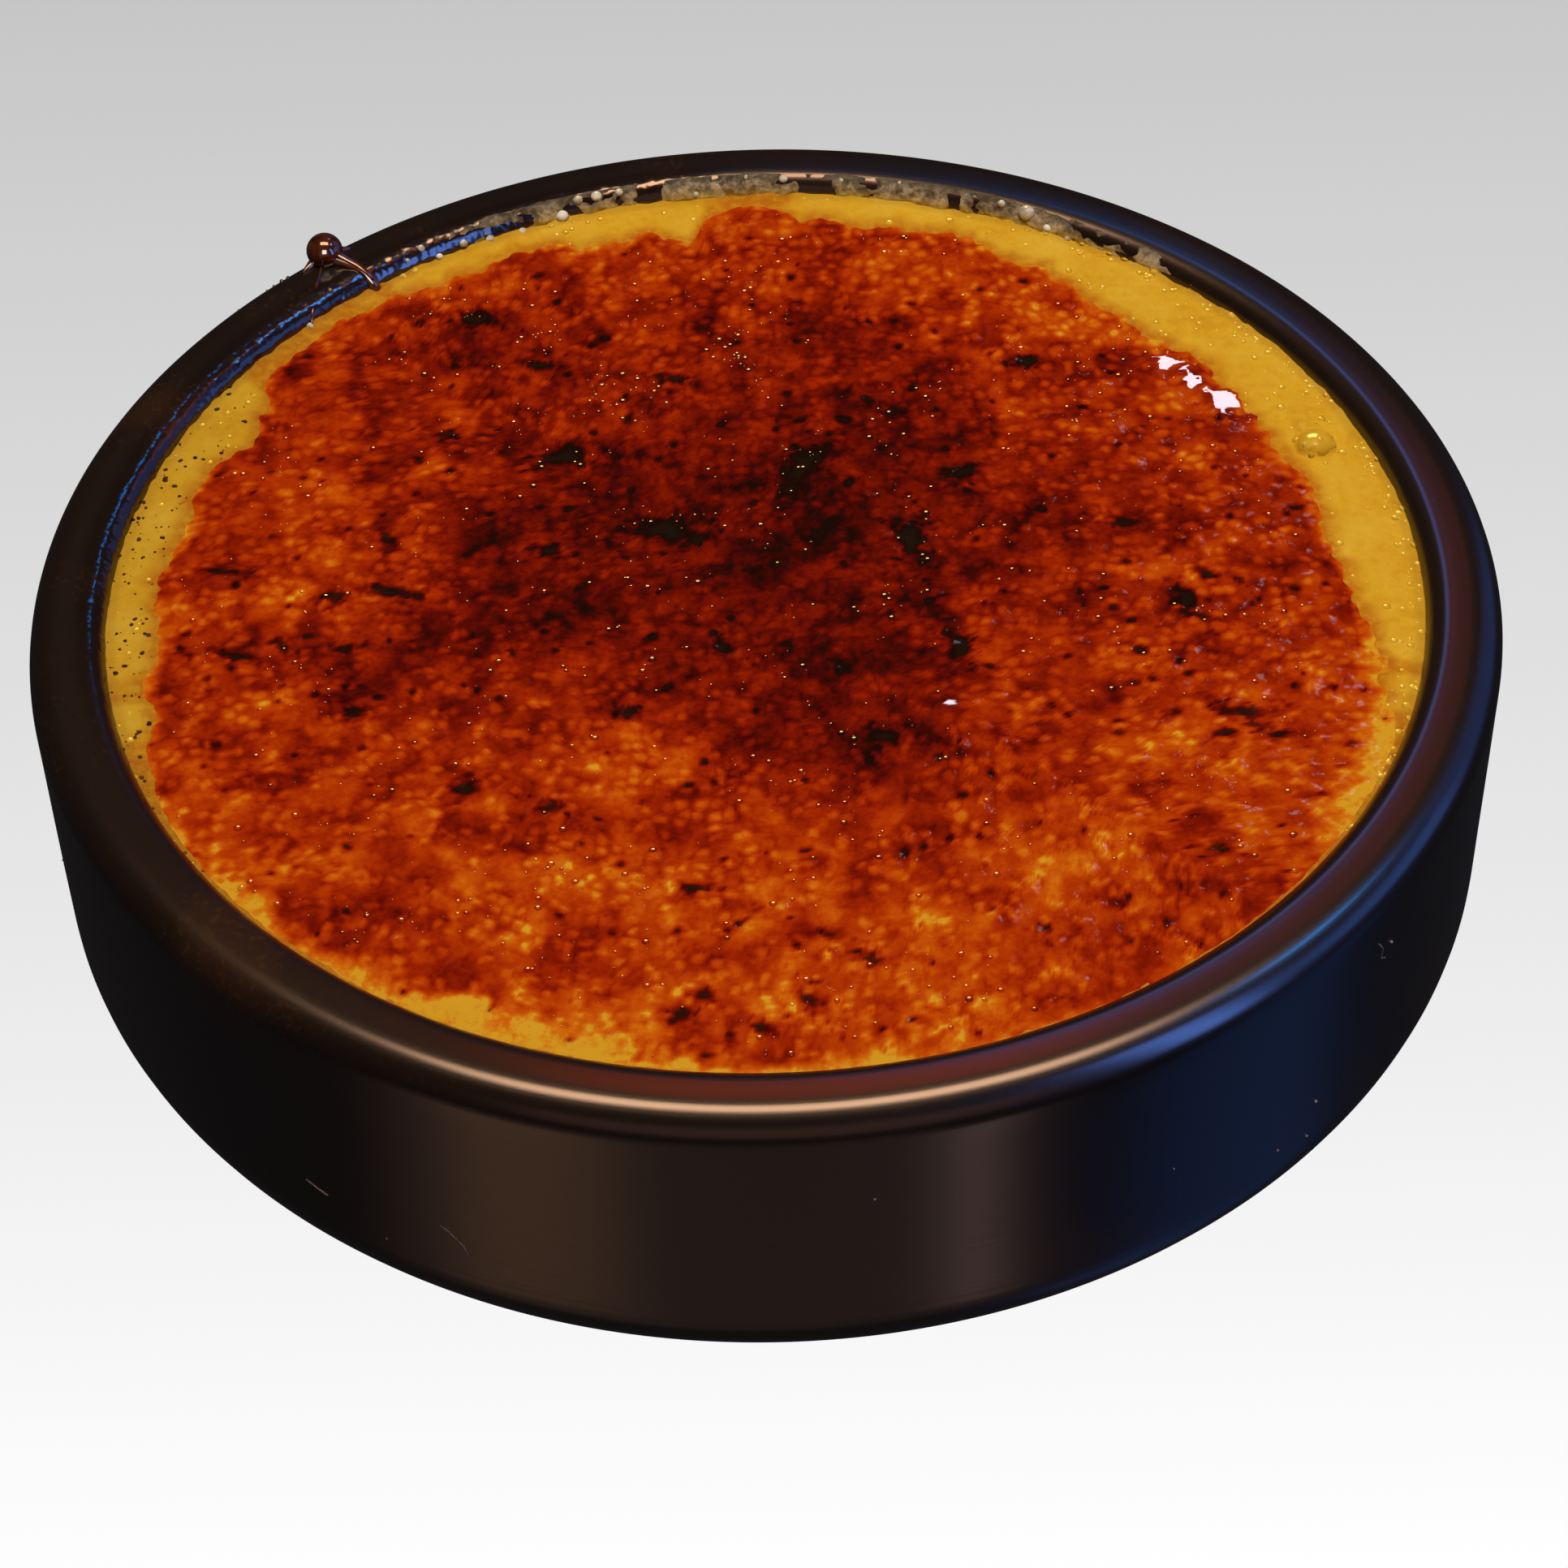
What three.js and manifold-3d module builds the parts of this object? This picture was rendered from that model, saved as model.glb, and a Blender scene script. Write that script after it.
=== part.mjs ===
// Creme brulee baked and served in its round stoneware dish.
// Millimetres, +Z up, origin at the centre of the dish's flat foot.

import * as THREE from "three";
import { mergeVertices } from "three/addons/utils/BufferGeometryUtils.js";
import Module from "manifold-3d";

const wasm = await Module();
wasm.setup();

// dish
const rimRadius = 60;
const footRadius = 59.4;
const dishHeight = 29.5;
const footRound = 6.6;
const rimRound = 2.7;
const crestInnerRadius = 55.6;
const innerRoundWidth = 2.25;
const innerRoundDrop = 2.0;
const cavityFootRadius = 51.6;
const cavityRound = 8;
const floorThickness = 6;
const dishSteps = 90;
const roundSteps = 5;

// custard, kept one gap off the dish and off the side of the crust
const fitGap = 0.3;
const ringCrown = 27.95;
const ringContact = 27.1;
const crustSeat = 27.0;
const custardSteps = 90;
const bubbleAngle = 19.3;
const bubbleFromCentre = 49.6;
const bubbleRadius = 1.6;
const bubbleFlattening = 0.7;

// caramel crust: one thin sheet of burnt sugar with a ragged edge
const crustThickness = 1.0;
const crustEdgeDrop = 0.3;
const crustSteps = 120;
const reliefHeight = 0.16;
const reliefFade = 5;
// where the edge runs: degrees from +X, radius
const crustEdge = [
  [0, 47.6], [8, 46.9], [14, 47.4], [19, 47.0], [29, 46.4], [37, 47.6], [44, 46.7], [52, 47.6],
  [60, 49.3], [70, 50.2], [85, 50.3], [90, 52.2], [94, 51.0], [97, 47.7], [101, 50.1], [105, 49.6],
  [112, 50.8], [121, 50.7], [130, 52.0], [143, 52.0], [149, 49.6], [154, 48.3], [161, 50.3], [167, 49.1],
  [180, 49.6], [194, 51.2], [205, 52.2], [215, 51.9], [219, 50.7], [226, 52.2], [236, 51.6], [244, 48.5],
  [252, 51.2], [268, 51.1], [292, 51.9], [320, 52.1], [328, 51.0], [338, 50.9], [352, 49.9], [356, 48.3],
];

// caramel drip set on the rim: a round bead with a tail that runs in over the crest
const dripAngle = 130.4;
const beadFromCentre = 58.2;
const beadHeight = 30.3;
const beadRadius = 1.6;
const tailFromCentre = 56.2;
const tailHeight = 29.6;
const tailHalfLength = 2.6;
const tailHalfWidth = 0.75;
const tailHalfHeight = 0.9;

const degrees = Math.PI / 180;

function arc(centreX, centreY, radiusX, radiusY, fromAngle, toAngle) {
  const points = [];
  for (let step = 0; step <= roundSteps; step += 1) {
    const angle = (fromAngle + (toAngle - fromAngle) * step / roundSteps) * degrees;
    points.push(new THREE.Vector2(centreX + radiusX * Math.cos(angle), centreY + radiusY * Math.sin(angle)));
  }
  return points;
}

function turned(profile, steps) {
  return new THREE.LatheGeometry(profile, steps).rotateX(Math.PI / 2);
}

// a closed geometry as one solid, its seam and poles merged
function solidOf(geometry) {
  const bare = geometry.clone();
  bare.deleteAttribute("normal");
  bare.deleteAttribute("uv");
  const merged = mergeVertices(bare, 1e-4);
  const corners = merged.index.array;
  const triangles = [];
  for (let i = 0; i < corners.length; i += 3) {
    const [a, b, c] = [corners[i], corners[i + 1], corners[i + 2]];
    if (a !== b && b !== c && c !== a) {
      triangles.push(a, b, c);
    }
  }
  return new wasm.Manifold(new wasm.Mesh({
    numProp: 3,
    vertProperties: new Float32Array(merged.attributes.position.array),
    triVerts: new Uint32Array(triangles),
  }));
}

function geometryOf(solid) {
  const mesh = solid.getMesh();
  const geometry = new THREE.BufferGeometry();
  geometry.setAttribute("position", new THREE.BufferAttribute(new Float32Array(mesh.vertProperties), 3));
  geometry.setIndex(new THREE.BufferAttribute(new Uint32Array(mesh.triVerts), 1));
  geometry.computeVertexNormals();
  return geometry;
}

// the dish turned in one go, its rim swollen by grow
function dishGeometry(grow) {
  return turned([
    new THREE.Vector2(0, 0),
    ...arc(footRadius - footRound, footRound, footRound, footRound, -90, 0),
    ...arc(rimRadius - rimRound, dishHeight - rimRound, rimRound + grow, rimRound + grow, 0, 90),
    ...arc(crestInnerRadius, dishHeight - innerRoundDrop, innerRoundWidth + grow, innerRoundDrop + grow, 90, 180),
    ...arc(cavityFootRadius - cavityRound, floorThickness + cavityRound, cavityRound, cavityRound, 0, -90),
    new THREE.Vector2(0, floorThickness),
  ], dishSteps);
}

// radius of the crust's edge at an angle, eased from one named point to the next
function crustRadius(angle) {
  const turn = ((angle / degrees) % 360 + 360) % 360;
  const next = crustEdge.findIndex(([start]) => start > turn);
  const after = next === -1 ? [360, crustEdge[0][1]] : crustEdge[next];
  const before = next === -1 ? crustEdge[crustEdge.length - 1] : crustEdge[next - 1];
  const share = (turn - before[0]) / (after[0] - before[0]);
  const eased = share * share * (3 - 2 * share);
  return before[1] + (after[1] - before[1]) * eased;
}

// the low swells that bubbling sugar leaves as it sets
function relief(x, y) {
  const broad = Math.sin(0.31 * x + 0.9) * Math.cos(0.27 * y - 0.4);
  const slanted = Math.sin(0.17 * (x + y)) * Math.cos(0.38 * (x - y));
  return reliefHeight * (broad + slanted) / 2;
}

// a sheet whose profile is turned first and then pushed out to the ragged edge;
// grow widens it, and rise lifts its top clear of the custard for use as a cutter
function crustGeometry(grow, rise) {
  const top = crustSeat + crustThickness + rise;
  const reference = 50;
  const geometry = turned([
    new THREE.Vector2(0, crustSeat),
    new THREE.Vector2(reference - crustEdgeDrop, crustSeat),
    new THREE.Vector2(reference, crustSeat + crustEdgeDrop),
    new THREE.Vector2(reference, top - 1.5 * crustEdgeDrop),
    new THREE.Vector2(reference - crustEdgeDrop, top - 0.5 * crustEdgeDrop),
    new THREE.Vector2(reference - 4 * crustEdgeDrop, top),
    ...[0.82, 0.6, 0.38, 0.18].map((share) => new THREE.Vector2(reference * share, top)),
    new THREE.Vector2(0, top),
  ], crustSteps);
  const place = geometry.attributes.position;
  for (let i = 0; i < place.count; i += 1) {
    const radius = Math.hypot(place.getX(i), place.getY(i));
    const angle = Math.atan2(place.getY(i), place.getX(i));
    const edge = crustRadius(angle) + grow;
    const pushed = radius * edge / reference;
    const x = pushed * Math.cos(angle);
    const y = pushed * Math.sin(angle);
    const inside = Math.min(1, Math.max(0, (edge - pushed) / reliefFade));
    const lift = rise === 0 && place.getZ(i) > top - 0.01 ? relief(x, y) * inside : 0;
    place.setXYZ(i, x, y, place.getZ(i) + lift);
  }
  return geometry;
}

// the custard fills the dish, stands in a soft lip round the crust and carries one baked bubble
function custardSolid() {
  const wall = crestInnerRadius - innerRoundWidth - fitGap;
  const round = cavityRound - fitGap;
  const body = solidOf(turned([
    new THREE.Vector2(0, floorThickness + fitGap),
    ...arc(cavityFootRadius - cavityRound, floorThickness + cavityRound, round, round, -90, 0),
    new THREE.Vector2(wall, ringContact),
    new THREE.Vector2(wall - 0.25, ringContact + 0.55),
    new THREE.Vector2(wall - 0.9, ringCrown - 0.05),
    new THREE.Vector2(wall - 2.2, ringCrown),
    new THREE.Vector2(wall - 4.5, ringCrown - 0.1),
    new THREE.Vector2(wall - 8, ringCrown - 0.3),
    new THREE.Vector2(0, ringCrown - 0.3),
  ], custardSteps));
  const bubble = new THREE.SphereGeometry(bubbleRadius, 14, 8);
  bubble.rotateX(Math.PI / 2);
  bubble.scale(1, 1, bubbleFlattening);
  bubble.translate(
    bubbleFromCentre * Math.cos(bubbleAngle * degrees),
    bubbleFromCentre * Math.sin(bubbleAngle * degrees),
    ringCrown - 0.2,
  );
  const cutter = solidOf(crustGeometry(fitGap, 5));
  return body.add(solidOf(bubble)).subtract(cutter);
}

function dripSolid() {
  const bead = new THREE.SphereGeometry(beadRadius, 16, 10).rotateX(Math.PI / 2);
  bead.translate(beadFromCentre, 0, beadHeight);
  const tail = new THREE.SphereGeometry(1, 12, 8).rotateX(Math.PI / 2);
  tail.scale(tailHalfLength, tailHalfWidth, tailHalfHeight);
  tail.translate(tailFromCentre, 0, tailHeight);
  for (const piece of [bead, tail]) {
    piece.rotateZ(dripAngle * degrees);
  }
  return solidOf(bead).add(solidOf(tail)).subtract(solidOf(dishGeometry(fitGap)));
}

function finish(color, roughness, metalness) {
  return new THREE.MeshStandardMaterial({ color, roughness, metalness });
}

function part(name, geometry, material) {
  const mesh = new THREE.Mesh(geometry, material);
  mesh.name = name;
  return mesh;
}

const cremeBrulee = new THREE.Group();
cremeBrulee.add(
  part("dish", dishGeometry(0), finish(0x1d1511, 0.4, 0.1)),
  part("custard", geometryOf(custardSolid()), finish(0xd7a027, 0.45, 0)),
  part("caramel_crust", crustGeometry(0, 0), finish(0x8c3306, 0.2, 0)),
  part("caramel_drip", geometryOf(dripSolid()), finish(0x2a150a, 0.2, 0)),
);

export default cremeBrulee;
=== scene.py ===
import math

import bpy
import bmesh
import numpy as np
from mathutils import Matrix, Vector


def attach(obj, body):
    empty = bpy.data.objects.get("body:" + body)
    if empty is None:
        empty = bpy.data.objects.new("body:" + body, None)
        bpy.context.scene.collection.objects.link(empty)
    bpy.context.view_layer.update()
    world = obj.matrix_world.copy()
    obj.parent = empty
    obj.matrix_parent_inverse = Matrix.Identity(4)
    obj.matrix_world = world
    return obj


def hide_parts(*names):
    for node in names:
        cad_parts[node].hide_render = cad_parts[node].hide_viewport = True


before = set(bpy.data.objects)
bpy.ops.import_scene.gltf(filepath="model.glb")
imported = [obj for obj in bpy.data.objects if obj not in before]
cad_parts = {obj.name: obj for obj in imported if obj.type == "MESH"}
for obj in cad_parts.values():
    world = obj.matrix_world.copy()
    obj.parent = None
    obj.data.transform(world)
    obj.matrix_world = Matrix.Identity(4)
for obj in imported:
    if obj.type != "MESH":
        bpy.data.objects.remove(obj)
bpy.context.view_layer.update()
scene = bpy.context.scene
mm = 0.001
print("frame loaded:", sorted(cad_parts))

# places on the pieces are in millimetres from the dish's axis, x to the right and y away from the main view,
# and turns round it in degrees from +X; the camera, the floor and the lamps are placed in metres

# camera
camera = {
    "distance": 0.42,        # from the middle of the foot
    "height": 44.56,         # degrees above the table
    "lens": 112.47,
    "pan": 0.0028,           # radians, small corrections of the aim
    "tilt": 0.0106,
    "roll": -0.031,
}


def turned(first, second, angle):
    # two directions at a right angle, turned in their own plane
    return (first * math.cos(angle) + second * math.sin(angle),
            second * math.cos(angle) - first * math.sin(angle))


def makeCamera(c):
    height = math.radians(c["height"])
    place = Vector((0, -math.cos(height), math.sin(height))) * c["distance"]
    ahead = -place.normalized()
    right = Vector((1, 0, 0))
    up = right.cross(ahead)
    ahead, right = turned(ahead, right, c["pan"])
    ahead, up = turned(ahead, up, c["tilt"])
    right, up = turned(right, up, c["roll"])
    data = bpy.data.cameras.new("camera")
    data.lens = c["lens"]
    data.sensor_width = 36
    data.clip_start = 0.01
    data.clip_end = 20
    obj = bpy.data.objects.new("camera", data)
    scene.collection.objects.link(obj)
    facing = Matrix((right, up, -ahead)).transposed()
    obj.matrix_world = Matrix.Translation(place) @ facing.to_4x4()
    scene.camera = obj
    return place


eye = makeCamera(camera)
scene.view_settings.view_transform = "Standard"
scene.view_settings.look = "None"
print("camera made")


# helpers: noise fields
tableSide = 128              # values along a side of a noise table, after which the noise repeats


def quintic(t):
    return t * t * t * (t * (t * 6 - 15) + 10)


def soften(t):
    # eases both ends of a share that runs from 0 to 1
    return t * t * (3 - 2 * t)


def ease(value, low, high):
    # 0 at low, 1 at high, whichever of the two is larger
    return soften(np.clip((value - low) / (high - low), 0, 1))


def softNoise(x, y, size, seed):
    # smooth value noise from -1 to 1, with lumps about one size apart
    table = np.random.default_rng(seed).random((tableSide, tableSide))
    cosine, sine = math.cos(0.7 * seed), math.sin(0.7 * seed)
    u = (x * cosine + y * sine) / size + 512.37
    v = (y * cosine - x * sine) / size + 512.71
    i = np.floor(u).astype(int)
    j = np.floor(v).astype(int)
    fu = quintic(u - i)
    fv = quintic(v - j)
    left, right = i % tableSide, (i + 1) % tableSide
    low, high = j % tableSide, (j + 1) % tableSide
    bottom = table[left, low] * (1 - fu) + table[right, low] * fu
    top = table[left, high] * (1 - fu) + table[right, high] * fu
    return 2 * (bottom * (1 - fv) + top * fv) - 1


def layeredNoise(x, y, layers):
    # each layer is an amount, a lump size and a seed
    total = 0.0
    for amount, size, seed in layers:
        total = total + amount * softNoise(x, y, size, seed)
    return total


def grainField(x, y, size, seed):
    # packed grains: distance to the nearest grain's middle, to the gap between grains, and a tone for each
    table = np.random.default_rng(seed).random((tableSide, tableSide, 3))
    i = np.floor(x / size).astype(int)
    j = np.floor(y / size).astype(int)
    near = np.full(x.shape, 9.0)
    second = np.full(x.shape, 9.0)
    tone = np.zeros(x.shape)
    for di in (-1, 0, 1):
        for dj in (-1, 0, 1):
            pick = table[(i + di) % tableSide, (j + dj) % tableSide]
            away = np.hypot((i + di + 0.1 + 0.8 * pick[..., 0]) - x / size,
                            (j + dj + 0.1 + 0.8 * pick[..., 1]) - y / size)
            closer = away < near
            second = np.where(closer, near, np.minimum(second, away))
            tone = np.where(closer, pick[..., 2], tone)
            near = np.where(closer, away, near)
    return near, second - near, tone


# helpers: meshes
def meshObject(name, points, faces, attributes=None):
    mesh = bpy.data.meshes.new(name)
    mesh.from_pydata([tuple(p) for p in points], [], faces)
    mesh.update()
    mesh.polygons.foreach_set("use_smooth", [True] * len(mesh.polygons))
    for key, values in (attributes or {}).items():
        layer = mesh.attributes.new(key, "FLOAT", "POINT")
        layer.data.foreach_set("value", np.asarray(values, np.float32))
    obj = bpy.data.objects.new(name, mesh)
    scene.collection.objects.link(obj)
    return obj


def closedFaces(rings, steps):
    # quads between closed rings, outward where they climb, and fans to a low and a high point that come last
    turn = np.arange(steps)
    start = np.arange(rings - 1)[:, None] * steps
    a = start + turn
    b = start + (turn + 1) % steps
    faces = np.stack([a, b, b + steps, a + steps], -1).reshape(-1, 4).tolist()
    count = rings * steps
    top = count - steps
    faces += [(count, (n + 1) % steps, n) for n in range(steps)]
    faces += [(count + 1, top + n, top + (n + 1) % steps) for n in range(steps)]
    return faces


def arcPoints(centre, radii, fromAngle, toAngle, steps):
    angles = np.radians(np.linspace(fromAngle, toAngle, steps + 1))
    return [(centre[0] + radii[0] * math.cos(t), centre[1] + radii[1] * math.sin(t)) for t in angles]


def aroundAxis(turn, reach, level):
    angle = math.radians(turn)
    return (reach * math.cos(angle), reach * math.sin(angle), level)


def joinParts(parts):
    # several lists of points and faces as one
    points, faces = [], []
    for partPoints, partFaces in parts:
        start = len(points)
        points += [tuple(p) for p in partPoints]
        faces += [tuple(start + i for i in face) for face in partFaces]
    return points, faces


def sweptTube(path, radii, sides):
    # a closed tube along a path, both ends rounded off to a point
    path = [Vector(p) for p in path]
    points = []
    before = None
    for k, (middle, radius) in enumerate(zip(path, radii)):
        ahead = (path[min(k + 1, len(path) - 1)] - path[max(k - 1, 0)]).normalized()
        if before is None:
            before = ahead.cross(Vector((0.31, 0.17, 0.93))).normalized()
        across = (before - ahead * before.dot(ahead)).normalized()
        before = across
        other = ahead.cross(across)
        for n in range(sides):
            turn = 2 * math.pi * n / sides
            points.append(middle + (across * math.cos(turn) + other * math.sin(turn)) * radius)
    points.append(path[0] - (path[1] - path[0]).normalized() * radii[0])
    points.append(path[-1] + (path[-1] - path[-2]).normalized() * radii[-1])
    return points, closedFaces(len(path), sides)


def ballPart(middle, radius, rows=10, sides=16, squash=1.0):
    # a closed ball of triangles and quads
    x, y, z = middle
    points = []
    for k in range(1, rows):
        polar = math.pi * k / rows
        for n in range(sides):
            turn = 2 * math.pi * n / sides
            points.append((x + radius * math.sin(polar) * math.cos(turn),
                           y + radius * math.sin(polar) * math.sin(turn),
                           z - radius * squash * math.cos(polar)))
    points += [(x, y, z - radius * squash), (x, y, z + radius * squash)]
    return points, closedFaces(rows - 1, sides)


def domeShape(sides, rise, ragged=0.0, seed=1):
    # a low drop of radius 1; its rim lies under the surface it stands on
    sink = 0.35
    chance = np.random.default_rng(seed)
    profile = [(0.9, -sink), (1.06, -0.12), (0.82, 0.50 * rise), (0.42, 0.88 * rise)]
    points = []
    for reach, height in profile:
        spread = reach * (1 + ragged * (chance.random(sides) - 0.5))
        for n in range(sides):
            turn = 2 * math.pi * n / sides
            points.append((spread[n] * math.cos(turn), spread[n] * math.sin(turn), height))
    points += [(0, 0, -sink), (0, 0, rise)]
    return points, closedFaces(len(profile), sides)


# helpers: node trees
def wire(tree, node, inputs):
    # another node's output is linked, anything else is set on the socket itself
    for key, value in inputs.items():
        socket = node.inputs[key]
        if isinstance(value, bpy.types.NodeSocket):
            tree.links.new(value, socket)
        elif isinstance(value, tuple):
            socket.default_value = (*value, 1)[:len(socket.default_value)]
        elif value is not None:
            socket.default_value = value


def addNode(tree, kind, inputs=None, **settings):
    node = tree.nodes.new(kind)
    for key, value in settings.items():
        setattr(node, key, value)
    wire(tree, node, inputs or {})
    return node


def mathNode(tree, operation, first, second, clamp=False):
    node = addNode(tree, "ShaderNodeMath", {0: first, 1: second}, operation=operation, use_clamp=clamp)
    return node.outputs[0]


def newMaterial(name):
    # the material, its tree, its shader, and the place on the piece
    material = bpy.data.materials.new(name)
    material.use_nodes = True
    tree = material.node_tree
    place = addNode(tree, "ShaderNodeTexCoord").outputs["Object"]
    return material, tree, tree.nodes["Principled BSDF"], place


def noiseNode(tree, place, size, detail, rough):
    # size is the lump size in metres
    node = addNode(tree, "ShaderNodeTexNoise", {
        "Scale": 1 / size, "Detail": detail, "Roughness": rough, "Vector": place})
    return node.outputs["Fac"]


def rangeNode(tree, value, fromLow, fromHigh, toLow, toHigh, smooth=True):
    inputs = {"Value": value, "From Min": fromLow, "From Max": fromHigh, "To Min": toLow, "To Max": toHigh}
    kind = "SMOOTHSTEP" if smooth else "LINEAR"
    return addNode(tree, "ShaderNodeMapRange", inputs, interpolation_type=kind).outputs["Result"]


def rampNode(tree, value, stops):
    node = addNode(tree, "ShaderNodeValToRGB", {"Fac": value})
    ramp = node.color_ramp
    while len(ramp.elements) < len(stops):
        ramp.elements.new(0.5)
    for element, (position, colour) in zip(ramp.elements, stops):
        element.position = position
        element.color = (*colour, 1)
    return node.outputs["Color"]


def mixColour(tree, share, first, second):
    return addNode(tree, "ShaderNodeMix", {0: share, 6: first, 7: second}, data_type="RGBA").outputs[2]


def attributeNode(tree, name):
    return addNode(tree, "ShaderNodeAttribute", attribute_name=name).outputs["Fac"]


def bumpNode(tree, height, distance, strength, before=None):
    inputs = {"Height": height, "Distance": distance, "Strength": strength, "Normal": before}
    return addNode(tree, "ShaderNodeBump", inputs).outputs["Normal"]


# helpers: many small things strewn over a piece
def scatterTree(name, template, material, mask, seed):
    tree = bpy.data.node_groups.new(name, "GeometryNodeTree")
    sockets = {}
    tree.interface.new_socket("Surface", in_out="INPUT", socket_type="NodeSocketGeometry")
    for key in ("Density", "Smallest", "Largest", "Bias"):
        socket = tree.interface.new_socket(key, in_out="INPUT", socket_type="NodeSocketFloat")
        sockets[key] = socket.identifier
    tree.interface.new_socket("Pieces", in_out="OUTPUT", socket_type="NodeSocketGeometry")
    entry = addNode(tree, "NodeGroupInput").outputs
    leave = addNode(tree, "NodeGroupOutput")
    where = addNode(tree, "GeometryNodeInputNamedAttribute", {"Name": mask}, data_type="FLOAT")
    thick = mathNode(tree, "MULTIPLY", where.outputs["Attribute"], entry["Density"])
    spread = addNode(tree, "GeometryNodeDistributePointsOnFaces", {
        "Mesh": entry["Surface"], "Density": thick, "Seed": seed})
    chance = addNode(tree, "FunctionNodeRandomValue", {"Seed": seed + 1}, data_type="FLOAT")
    skewed = mathNode(tree, "POWER", chance.outputs["Value"], entry["Bias"])
    span = mathNode(tree, "SUBTRACT", entry["Largest"], entry["Smallest"])
    size = mathNode(tree, "ADD", mathNode(tree, "MULTIPLY", skewed, span), entry["Smallest"])
    spin = addNode(tree, "FunctionNodeRandomValue", {"Max": (0, 0, 2 * math.pi), "Seed": seed + 2},
                   data_type="FLOAT_VECTOR")
    turn = addNode(tree, "FunctionNodeRotateRotation", {
        "Rotation": spread.outputs["Rotation"], "Rotate By": spin.outputs["Value"]}, rotation_space="LOCAL")
    shape = addNode(tree, "GeometryNodeObjectInfo", {"Object": template})
    placed = addNode(tree, "GeometryNodeInstanceOnPoints", {
        "Points": spread.outputs["Points"], "Instance": shape.outputs["Geometry"],
        "Rotation": turn.outputs["Rotation"], "Scale": size})
    solid = addNode(tree, "GeometryNodeRealizeInstances", {"Geometry": placed.outputs["Instances"]})
    painted = addNode(tree, "GeometryNodeSetMaterial", {
        "Geometry": solid.outputs["Geometry"], "Material": material})
    wire(tree, leave, {"Pieces": painted.outputs["Geometry"]})
    return tree, sockets


def strew(name, host, shape, material, settings):
    # density in pieces to a square centimetre where the mask is 1, sizes in millimetres
    template = meshObject(name + "_shape", *shape)
    tree, sockets = scatterTree(name, template, material, settings["mask"], settings["seed"])
    carrier = bpy.data.objects.new(name + "_carrier", host.data)
    scene.collection.objects.link(carrier)
    modifier = carrier.modifiers.new("strew", "NODES")
    modifier.node_group = tree
    modifier[sockets["Density"]] = float(settings["density"] * 1e4)
    modifier[sockets["Smallest"]] = settings["smallest"] * mm
    modifier[sockets["Largest"]] = settings["largest"] * mm
    modifier[sockets["Bias"]] = float(settings["bias"])
    done = carrier.evaluated_get(bpy.context.evaluated_depsgraph_get())
    mesh = bpy.data.meshes.new_from_object(done)
    obj = bpy.data.objects.new(name, mesh)
    scene.collection.objects.link(obj)
    carrier.modifiers.remove(modifier)
    bpy.data.objects.remove(carrier)
    bpy.data.objects.remove(template)
    # one material slot, without the empty one that the shape brings
    mesh.materials.clear()
    mesh.materials.append(material)
    mesh.polygons.foreach_set("material_index", [0] * len(mesh.polygons))
    print(name, "strewn:", len(mesh.polygons), "faces")
    return obj


# dish
dish = {
    "rimRadius": 60.0,
    "footRadius": 59.4,
    "height": 29.5,
    "footRound": 6.6,
    "rimRound": 2.7,
    "crest": (56.4, 0.02),   # radius of the rim's highest line, and its rise
    "crestInner": 55.6,
    "innerRound": (1.9, 1.9),
    "innerWall": [(53.1, 24.0), (52.5, 19.0)],   # radius and height on the way down
    "cavityFoot": 51.6,
    "cavityRound": 8.0,
    "floor": 6.0,
    "steps": 360,
    "wobble": 0.05,          # how far the thrown wall strays from round
    "wetFrom": 100,          # where round the inner wall syrup has wetted it
    "wetTo": 215,
}


def dishProfile(d):
    # from the middle of the foot round the rim to the middle of the floor
    top = d["height"]
    crest, rise = d["crest"]
    points = [(20, 0), (40, 0)]
    points += arcPoints((d["footRadius"] - d["footRound"], d["footRound"]), (d["footRound"],) * 2, -90, 0, 12)
    climb = np.linspace(0, 1, 12)[1:-1]
    low, high = d["footRound"], top - d["rimRound"]
    flare = d["rimRadius"] - d["footRadius"]
    points += [(d["footRadius"] + flare * t, low + (high - low) * t) for t in climb]
    points += arcPoints((d["rimRadius"] - d["rimRound"], high), (d["rimRound"],) * 2, 0, 90, 12)
    points += [(crest, top + rise)]
    points += arcPoints((d["crestInner"], top - d["innerRound"][1]), d["innerRound"], 90, 180, 12)
    points += d["innerWall"]
    cavity = (d["cavityFoot"] - d["cavityRound"], d["floor"] + d["cavityRound"])
    points += arcPoints(cavity, (d["cavityRound"],) * 2, 0, -90, 6)
    points += [(20, d["floor"])]
    return np.array(points)


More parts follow.
